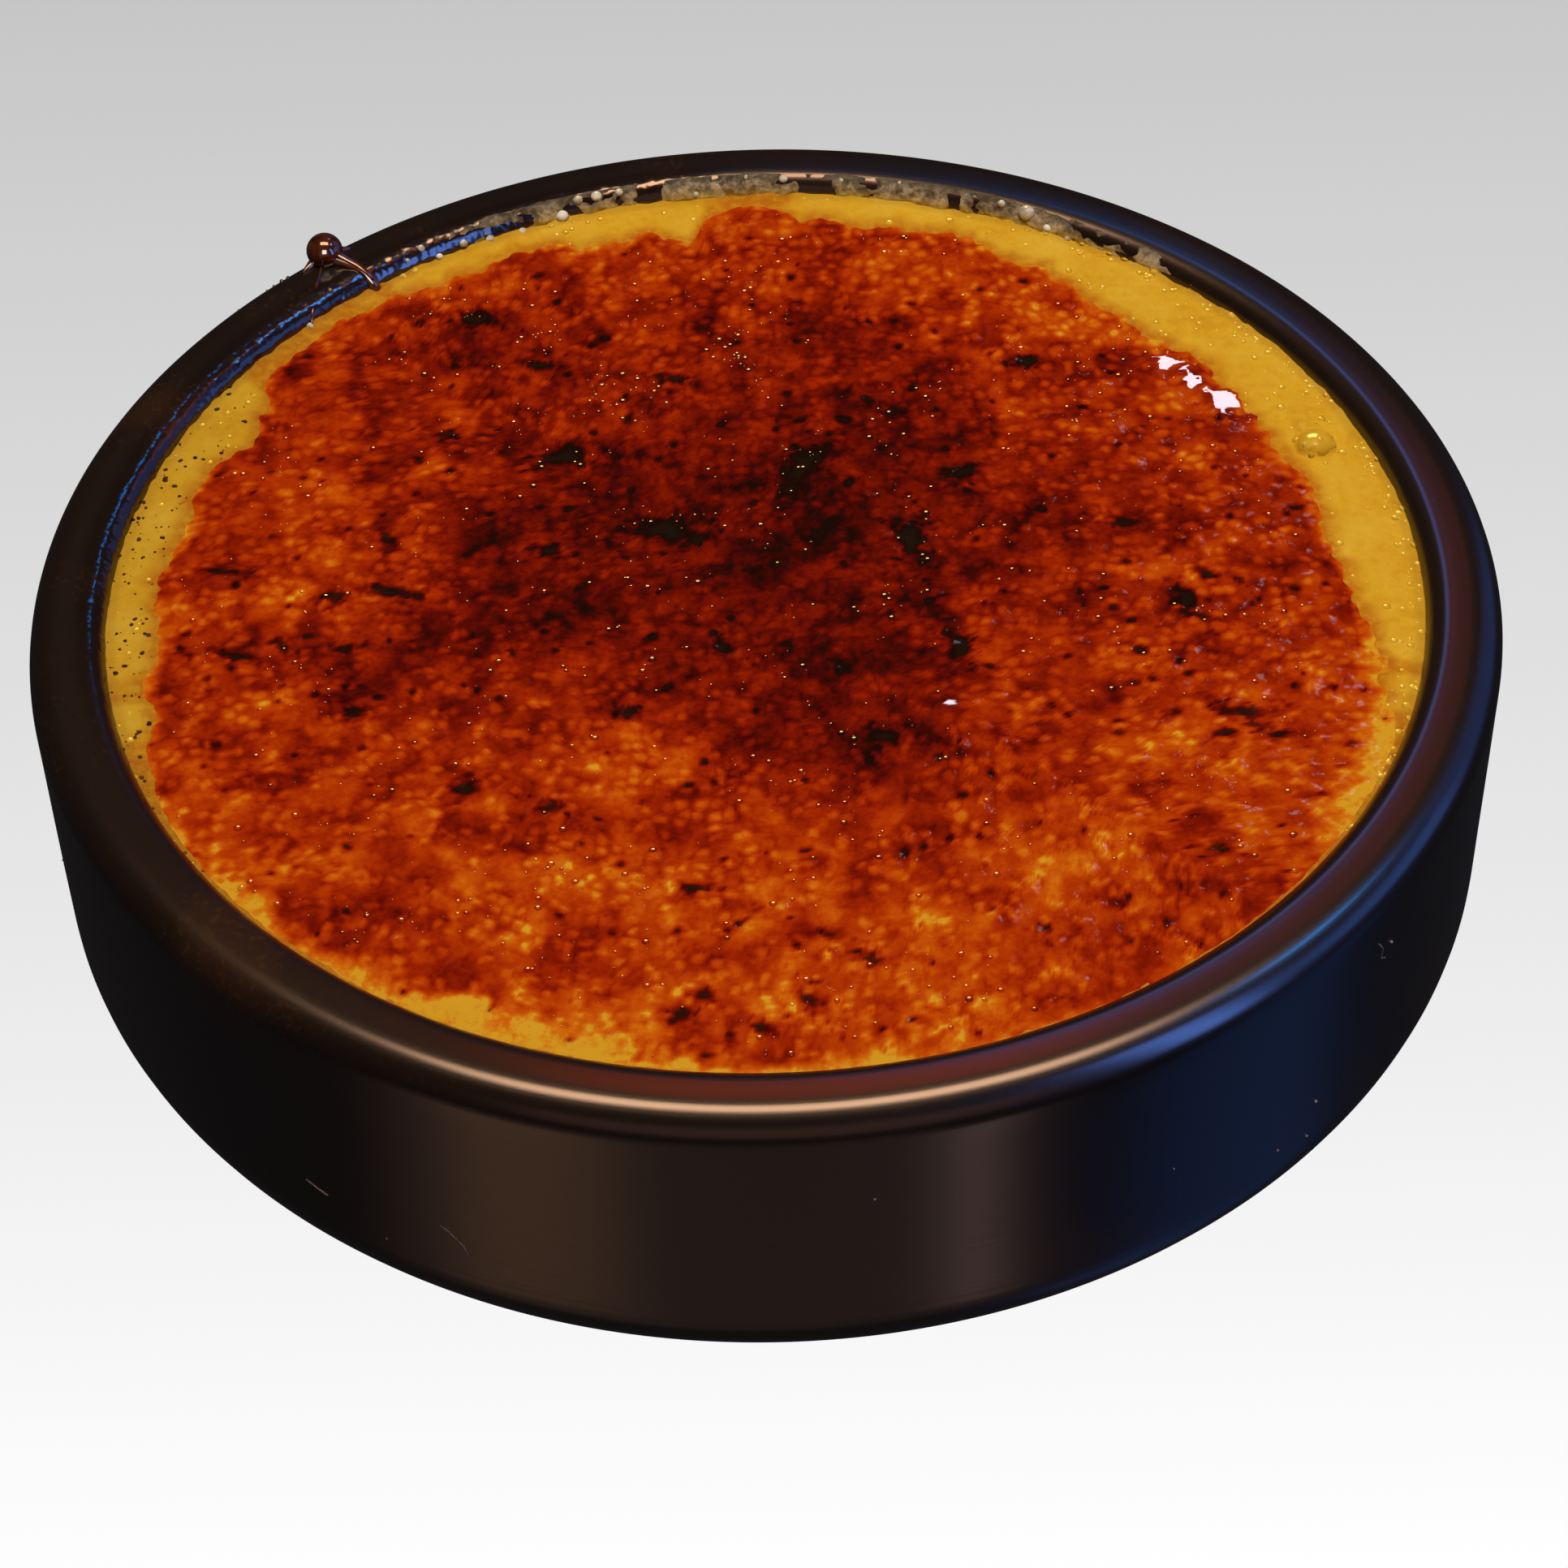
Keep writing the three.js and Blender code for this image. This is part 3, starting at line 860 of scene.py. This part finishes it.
def dropMaterial(name, colour, coat, rough):
    # colour holds a light and a dark tint, or None for the caramel's own colour under the piece
    material, tree, shader, place = newMaterial(name)
    patch = noiseNode(tree, place, 0.0016, 2, 0.6)
    if colour is None:
        darker = rangeNode(tree, patch, 0.35, 0.65, 0.02, 0.16)
        level = mathNode(tree, "ADD", attributeNode(tree, "burn"), darker, clamp=True)
        tint = rampNode(tree, level, caramelColours)
    else:
        light, dark = colour
        tint = mixColour(tree, rangeNode(tree, patch, 0.35, 0.65, 0, 1), dark, light)
    wire(tree, shader, {
        "Base Color": tint,
        "Roughness": rough,
        "Coat Weight": coat,
        "Coat Roughness": rough * 0.6,
    })
    return material


amberGlass = dropMaterial("amber_beads", None, 1.0, 0.20)
beadPiece = strew("sugar_beads", crustPiece, domeShape(7, 0.30), amberGlass, beads)

# bubbles baked into the custard, thickest at the wall
foam = {"mask": "foam", "seed": 11, "density": 110, "smallest": 0.10, "largest": 0.42, "bias": 1.8}
foamGlaze = dropMaterial("custard_bubbles", ((0.72, 0.43, 0.040), (0.66, 0.34, 0.016)), 0.5, 0.22)
foamPiece = strew("custard_bubbles", custardPiece, domeShape(7, 0.34), foamGlaze, foam)

# burnt specks fallen on the left of the custard
pepper = {"mask": "peppered", "seed": 21, "density": 85, "smallest": 0.06, "largest": 0.26, "bias": 2.2}
charred = dropMaterial("charred_sugar", ((0.10, 0.028, 0.004), (0.020, 0.006, 0.002)), 0.3, 0.4)
pepperPiece = strew("burnt_specks", custardPiece, domeShape(6, 0.4, ragged=0.7, seed=3), charred, pepper)


# dried custard on the far inner wall
film = {
    "from": 34,
    "to": 126,
    "thickness": 0.20,
    "skin": 0.35,            # how far its back lies inside the wall
    "foot": [(53.66, 27.3), (53.6, 27.0), (53.5, 26.5)],   # radius and height behind the custard's edge
    "lumps": [(0.5, 2.4, 81), (0.4, 1.0, 82), (0.25, 0.5, 83)],
    "gaps": [(84.0, 1.3), (70.5, 0.7), (99.5, 0.8)],   # where the wall shows through: turn, half width
}


def buildFilm(f):
    turns = np.radians(np.linspace(f["from"], f["to"], 620))
    across, down = dish["innerRound"]
    arc = np.radians(np.linspace(105, 180, 16))
    footReach, footLevel = zip(*f["foot"])
    reach = np.concatenate([dish["crestInner"] + across * np.cos(arc), footReach])
    level = np.concatenate([dish["height"] - down + down * np.sin(arc), footLevel])
    tilt = np.concatenate([arc, [math.pi] * len(footReach)])
    turnGrid, fall = np.meshgrid(turns, np.linspace(0, 1, len(reach)))
    lumps = layeredNoise(54 * turnGrid, 4.5 * fall, f["lumps"])
    degrees = np.degrees(turnGrid)
    # how thickly the wall is covered: less at both ends, at the top and in the gaps
    window = ease(degrees, f["from"], f["from"] + 14) * (1 - ease(degrees, f["to"] - 12, f["to"]))
    cover = lumps + 0.55 - 0.75 * (1 - ease(degrees, 44, 60)) - 1.6 * (1 - window)
    cover = cover - 1.5 * (1 - ease(fall, 0.0, 0.12 + 0.10 * (degrees < 66)))
    cover += 0.5 * ease(degrees, 92, 108) * ease(0.35 - fall, -0.2, 0.15) - 0.45 * ease(degrees, 92, 104)
    for middle, half in f["gaps"]:
        cover -= 2.0 * np.exp(-((degrees - middle) / half) ** 2) * (fall > 0.25)
    thick = f["thickness"] * np.clip(cover, -0.6, 1.0) * (0.6 + 0.5 * ease(fall, 0.4, 0.9))
    sheets = []
    for offset in (thick, np.full_like(thick, -f["skin"])):
        radius = reach[:, None] + offset * np.cos(tilt)[:, None]
        height = level[:, None] + offset * np.sin(tilt)[:, None]
        sheets.append(np.stack([radius * np.cos(turnGrid), radius * np.sin(turnGrid), height], -1))
    front, back = sheets
    loop = np.concatenate([front, back[::-1]])
    count, steps = loop.shape[:2]
    points = loop.reshape(-1, 3)
    faces = []
    for k in range(count):
        a, b = k * steps, (k + 1) % count * steps
        faces += [(a + n, b + n, b + n + 1, a + n + 1) for n in range(steps - 1)]
    # both ends
    for n in (0, steps - 1):
        for k in range(count // 2 - 1):
            rows = (k, k + 1, count - 2 - k, count - 1 - k)
            face = tuple(row * steps + n for row in rows)
            faces.append(face[::-1] if n == 0 else face)
    piece = meshObject("wall_film", points * mm, faces, {
        "low": np.concatenate([fall, fall[::-1]]).ravel(),
        "crumb": np.concatenate([lumps, lumps]).ravel(),
    })
    shell = bmesh.new()
    shell.from_mesh(piece.data)
    bmesh.ops.recalc_face_normals(shell, faces=shell.faces)
    shell.to_mesh(piece.data)
    shell.free()
    return piece


def filmMaterial():
    material, tree, shader, place = newMaterial("dried_custard")
    grain = noiseNode(tree, place, 0.0007, 2, 0.65)
    crumbs = rangeNode(tree, attributeNode(tree, "crumb"), -0.6, 0.8, 0, 0.6)
    grains = rangeNode(tree, grain, 0.3, 0.7, -0.15, 0.45)
    beige = rampNode(tree, mathNode(tree, "ADD", crumbs, grains, clamp=True), [
        (0.10, (0.110, 0.072, 0.036)),
        (0.45, (0.290, 0.200, 0.106)),
        (0.80, (0.520, 0.375, 0.205)),
    ])
    mottle = rangeNode(tree, grain, 0.35, 0.65, 0, 1)
    yellow = mixColour(tree, mottle, (0.48, 0.27, 0.030), (0.66, 0.45, 0.10))
    # painted shade darkens it towards the rim; it is yellow where it meets the custard
    low = attributeNode(tree, "low")
    shaded = mixColour(tree, rangeNode(tree, low, 0.10, 0.46, 0.78, 0.0), beige, (0.050, 0.034, 0.020))
    bumps = bumpNode(tree, grain, 0.00022, 0.9)
    wire(tree, shader, {
        "Base Color": mixColour(tree, rangeNode(tree, low, 0.42, 0.80, 0.0, 1.0), shaded, yellow),
        "Roughness": 0.38,
        "Coat Weight": 0.6,
        "Coat Roughness": 0.18,
        "Normal": bumps,
        "Coat Normal": bumps,
    })
    return material


filmPiece = buildFilm(film)
filmPiece.data.materials.append(filmMaterial())
print("wall film made:", len(filmPiece.data.polygons), "faces")

# pale drops on the inner wall: turn, radius from the axis, height, size
wallDrops = [
    (63.4, 54.3, 28.9, 0.75), (61.0, 53.9, 28.2, 0.45), (66.0, 54.5, 29.0, 0.40),
    (58.8, 53.8, 27.9, 0.36), (76.0, 54.7, 29.1, 0.30), (81.5, 54.6, 29.0, 0.34),
    (87.0, 54.5, 29.0, 0.42), (90.5, 54.7, 29.1, 0.30), (108.4, 53.9, 28.1, 0.62),
    (104.8, 54.5, 29.0, 0.52), (106.6, 54.5, 29.0, 0.46), (102.6, 54.5, 29.0, 0.40),
    (115.8, 53.8, 27.9, 0.44), (118.5, 53.9, 28.3, 0.40), (121.2, 53.7, 28.0, 0.34),
    (122.6, 54.6, 28.9, 0.42), (124.4, 54.3, 28.6, 0.34), (112.5, 53.6, 27.8, 0.36),
    (136.5, 53.6, 27.8, 0.34), (95.4, 53.9, 28.2, 0.34),
]


def buildWallDrops(drops):
    parts = []
    for turn, reach, level, size in drops:
        parts.append(ballPart(aroundAxis(turn, reach, level), size, squash=0.9))
    points, faces = joinParts(parts)
    return meshObject("wall_drops", np.array(points) * mm, faces)


dropPiece = buildWallDrops(wallDrops)
paleSkin = dropMaterial("pale_drops", ((0.90, 0.80, 0.66), (0.44, 0.34, 0.22)), 1.0, 0.24)
dropPiece.data.materials.append(paleSkin)
print("wall drops made:", len(dropPiece.data.polygons), "faces")

# the glossy skin of the one large baked bubble, over the custard's own swelling
blister = {
    "level": 27.95,
    "radius": 1.62,
    "squash": 0.64,
}
blisterMiddle = (*custard["bubble"][:2], blister["level"])
blisterPoints, blisterFaces = ballPart(blisterMiddle, blister["radius"], 24, 36, blister["squash"])
blisterPiece = meshObject("custard_blister", np.array(blisterPoints) * mm, blisterFaces)
blisterSkin = dropMaterial("blister_skin", ((0.74, 0.42, 0.036), (0.70, 0.36, 0.019)), 0.8, 0.16)
blisterPiece.data.materials.append(blisterSkin)
print("blister made:", len(blisterPiece.data.polygons), "faces")


# caramel drop on the far-left rim; along its tubes: turn from the drop, radius, height, thickness
drip = {
    "turn": 130.4,
    "reach": 58.2,
    "level": 30.3,
    "radius": 1.6,
    "run": [
        (-0.2, 57.9, 29.9, 1.05), (-0.5, 57.0, 29.75, 0.85), (-0.9, 56.2, 29.6, 0.62),
        (-1.3, 55.3, 29.4, 0.50), (-1.6, 54.5, 29.0, 0.46), (-1.8, 53.8, 28.4, 0.50),
        (-2.0, 53.4, 27.8, 0.44),
    ],
    "skirt": [
        (2.6, 58.0, 29.45, 0.16), (1.4, 58.3, 29.55, 0.40), (0, 58.5, 29.6, 0.55),
        (-1.3, 58.3, 29.55, 0.42), (-2.4, 57.9, 29.45, 0.18),
    ],
    "thread": [
        (1.0, 57.4, 29.6, 0.20), (1.9, 56.6, 29.6, 0.15), (3.1, 55.7, 29.45, 0.13),
        (4.4, 54.7, 29.1, 0.12), (5.4, 53.9, 28.5, 0.14), (6.0, 53.5, 27.9, 0.12),
    ],
    "specks": [(3.6, 0.16), (4.3, 0.20), (5.2, 0.13), (6.0, 0.10), (9.4, 0.10)],   # turn from the drop, size
}


def buildDrip(d):
    parts = [ballPart(aroundAxis(d["turn"], d["reach"], d["level"]), d["radius"], 28, 40, 0.98)]
    for key, sides in (("run", 14), ("skirt", 12), ("thread", 8)):
        path = [aroundAxis(d["turn"] + turn, reach, level) for turn, reach, level, _ in d[key]]
        parts.append(sweptTube(path, [stop[3] for stop in d[key]], sides))
    for turn, size in d["specks"]:
        parts.append(ballPart(aroundAxis(d["turn"] + turn, 59.0, 28.9), size, 6, 10))
    points, faces = joinParts(parts)
    return meshObject("rim_drip", np.array(points) * mm, faces)


dripPiece = buildDrip(drip)
syrup = dropMaterial("dark_syrup", ((0.085, 0.026, 0.008), (0.020, 0.008, 0.004)), 1.0, 0.12)
dripPiece.data.materials.append(syrup)
print("rim drip made:", len(dripPiece.data.polygons), "faces")


# lint and dust stuck on the outer wall
dust = {
    "fibres": [               # height and turn at a few places along each fibre
        [(12.3, -116.0), (11.9, -115.4), (11.1, -114.6), (10.6, -114.2), (9.8, -113.9)],
        [(10.4, -128.2), (10.1, -127.2), (9.9, -126.2)],
        [(23.6, -39.2), (22.6, -38.6), (21.6, -38.7), (21.2, -38.1)],
    ],
    "specks": [               # turn, height, size
        (-45.5, 11.0, 0.13), (-46.2, 7.5, 0.12), (-49.5, 8.5, 0.10), (-83.5, 20.5, 0.11),
        (167.5, 23.5, 0.13), (-170.0, 11.5, 0.10), (-37.4, 22.3, 0.12), (-166.0, 14.0, 0.09),
        (-121.0, 8.0, 0.08), (-60.0, 14.0, 0.08),
    ],
    "thickness": 0.055,
}


def buildDust(d):
    def onWall(turn, level):
        # just outside the wall, which leans out by 0.6 mm over 20.2 mm above the foot's rounding
        reach = dish["footRadius"] + 0.6 * max(0.0, level - dish["footRound"]) / 20.2 + 0.03
        return aroundAxis(turn, reach, level)

    parts = []
    for fibre in d["fibres"]:
        path = [onWall(turn, level) for level, turn in fibre]
        parts.append(sweptTube(path, [d["thickness"]] * len(fibre), 6))
    for turn, level, size in d["specks"]:
        parts.append(ballPart(onWall(turn, level), size, 5, 8))
    points, faces = joinParts(parts)
    return meshObject("wall_dust", np.array(points) * mm, faces)


dustPiece = buildDust(dust)
lint = dropMaterial("grey_lint", ((0.50, 0.52, 0.60), (0.30, 0.32, 0.40)), 0.0, 0.6)
dustPiece.data.materials.append(lint)
print("wall dust made:", len(dustPiece.data.polygons), "faces")


# floor and lights
# the floor glows and is not lit: its tones are painted light that falls off away from the camera
stageLook = {
    "near": -0.080,          # the floor darkens from here, in metres along Y
    "far": 0.130,            # to here
    "tones": [(0.0, 1.0), (0.15, 0.913), (0.31, 0.823), (0.46, 0.753), (0.70, 0.658), (1.0, 0.560)],
}


def buildFloor(s):
    size = 3.0
    corners = [(-size, -size, 0), (size, -size, 0), (size, size, 0), (-size, size, 0)]
    floor = meshObject("floor", corners, [(0, 1, 2, 3)])
    material, tree, shader, place = newMaterial("studio_floor")
    split = addNode(tree, "ShaderNodeSeparateXYZ", {"Vector": place})
    away = rangeNode(tree, split.outputs["Y"], s["near"], s["far"], 0, 1, smooth=False)
    tones = rampNode(tree, away, [(at, (tone,) * 3) for at, tone in s["tones"]])
    glow = addNode(tree, "ShaderNodeEmission", {"Color": tones})
    wire(tree, tree.nodes["Material Output"], {"Surface": glow.outputs[0]})
    tree.nodes.remove(shader)
    material.cycles.emission_sampling = "NONE"
    floor.data.materials.append(material)
    floor.visible_diffuse = False
    floor.visible_glossy = False
    floor.visible_transmission = False
    floor.visible_shadow = False


def buildWorld():
    # dark as a light, pale where the camera sees it
    world = bpy.data.worlds.new("studio")
    scene.world = world
    world.use_nodes = True
    tree = world.node_tree
    back = tree.nodes["Background"]
    wire(tree, back, {"Color": (0.019, 0.018, 0.020)})
    seen = addNode(tree, "ShaderNodeBackground", {"Color": (0.62, 0.62, 0.62)})
    path = addNode(tree, "ShaderNodeLightPath")
    mix = addNode(tree, "ShaderNodeMixShader", {
        0: path.outputs["Is Camera Ray"], 1: back.outputs[0], 2: seen.outputs[0]})
    wire(tree, tree.nodes["World Output"], {"Surface": mix.outputs[0]})


def softLight(name, place, target, size, power, colour, receivers, only):
    data = bpy.data.lights.new(name, "AREA")
    data.shape = "RECTANGLE"
    data.size, data.size_y = size
    data.energy = power
    data.color = colour
    obj = bpy.data.objects.new(name, data)
    scene.collection.objects.link(obj)
    obj.location = place
    obj.rotation_euler = (Vector(target) - Vector(place)).to_track_quat("-Z", "Y").to_euler()
    obj.visible_camera = False
    obj.visible_diffuse = only != "gloss"
    obj.visible_glossy = only != "shade"
    obj.light_linking.receiver_collection = receivers


foodOnly = bpy.data.collections.new("food")
shinyOnly = bpy.data.collections.new("shiny")
sheetOnly = bpy.data.collections.new("sheet")
potOnly = bpy.data.collections.new("pot")
dripOnly = bpy.data.collections.new("drip")
buildFloor(stageLook)
buildWorld()
scene.cycles.use_light_tree = False
# name, place, target, size, power, colour, what it lights, and "gloss" or "shade" for one kind of light only
lamps = [
    ("food_key", (0.05, 0.02, 0.80), (0, 0, 0.028), (0.22, 0.22), 5.7, (1.0, 0.97, 0.92), foodOnly, "shade"),
    ("bead_lamp", (-0.01, 0.66, 0.56), (0, 0.02, 0.028), (0.34, 0.26), 5.5, (1.0, 0.54, 0.14),
     shinyOnly, "gloss"),
    ("window", tuple(windowPlace), (0.02, 0.01, 0.028), (0.10, 0.10), 0.55, (0.92, 0.90, 1.0),
     sheetOnly, "gloss"),
    ("pot_key", (0.0, 0.0, 0.80), (0, 0, 0.028), (0.61, 0.26), 6.7, (1.0, 0.58, 0.34), potOnly, None),
    ("front", (0.0, -0.90, 0.25), (0, 0, 0.028), (1.2, 0.5), 0.55, (1.0, 0.46, 0.34), potOnly, None),
    ("rim_glow", (0.004, 0.028, 0.120), (0, -0.057, 0.029), (0.055, 0.020), 0.0080, (1.0, 0.10, 0.0),
     potOnly, "gloss"),
    ("rim_glow_right", (0.057, 0.066, 0.120), (0.045, -0.03, 0.029), (0.04, 0.07), 0.0042, (1.0, 0.12, 0.0),
     potOnly, "gloss"),
    ("blue_right", (0.55, -0.02, 0.14), (0, 0, 0.03), (0.30, 0.22), 0.28, (0.10, 0.30, 1.0),
     potOnly, "gloss"),
    ("blue_near_right", (0.467, -0.316, 0.235), (0.03, -0.05, 0.028), (0.14, 0.45), 1.30, (0.14, 0.31, 1.0),
     potOnly, "gloss"),
    ("blue_left_wall", (0.383, 0.063, 0.487), (-0.038, 0.038, 0.028), (0.10, 0.10), 0.38, (0.05, 0.34, 1.0),
     potOnly, "gloss"),
    ("blue_streak", (0.040, 0.168, 0.189), (-0.052, 0.014, 0.029), (0.022, 0.045), 0.017, (0.02, 0.30, 1.0),
     potOnly, "gloss"),
    ("blue_far_right", (0.509, 0.271, 0.195), (0, 0, 0.03), (0.40, 0.40), 0.24, (0.10, 0.27, 1.0),
     potOnly, "gloss"),
    ("blue_below", (0.55, -0.11, -0.535), (0, 0, 0.02), (0.36, 0.8), 0.17, (0.08, 0.28, 1.0), potOnly, None),
    ("fill_below", (-0.16, -0.60, -0.60), (0, 0, 0.02), (1.1, 0.6), 0.26, (1.0, 0.62, 0.48), potOnly, None),
    ("streak_left", (-0.370, -0.460, -0.535), (-0.02, -0.054, 0.010), (0.26, 0.24), 0.085, (1.0, 0.46, 0.20),
     potOnly, None),
    ("streak_right", (0.297, -0.514, -0.535), (0.015, -0.058, 0.015), (0.06, 0.24), 0.057, (1.0, 0.60, 0.54),
     potOnly, None),
    ("drip_lamp", (-0.02, -0.25, 0.20), (-0.037, 0.044, 0.030), (0.16, 0.16), 0.9, (1.0, 0.90, 0.82),
     dripOnly, "gloss"),
]
for lamp in lamps:
    softLight(*lamp)
print("stage and lights made")


# joining the frame
pieces = [
    (dishPiece, "dark_glaze", ["dish"], [potOnly]),
    (custardPiece, "baked_custard", ["custard"], [foodOnly]),
    (crustPiece, "burnt_caramel", ["caramel_crust"], [foodOnly, sheetOnly]),
    (dripPiece, "dark_caramel", ["caramel_drip"], [potOnly, dripOnly]),
    (beadPiece, "burnt_caramel", [], [foodOnly, shinyOnly]),
    (foamPiece, "baked_custard", [], [foodOnly, shinyOnly]),
    (pepperPiece, "burnt_caramel", [], [foodOnly]),
    (dustPiece, "dark_glaze", [], [potOnly, foodOnly]),
    (filmPiece, "baked_custard", [], [foodOnly]),
    (dropPiece, "baked_custard", [], [foodOnly, shinyOnly]),
    (blisterPiece, "baked_custard", [], [foodOnly, shinyOnly]),
]
for piece, slot, replaced, groups in pieces:
    for group in groups:
        group.objects.link(piece)
    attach(piece, "root")
    if replaced:
        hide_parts(*replaced)
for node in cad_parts.values():
    foodOnly.objects.link(node)
    potOnly.objects.link(node)

print("pieces joined to the frame")
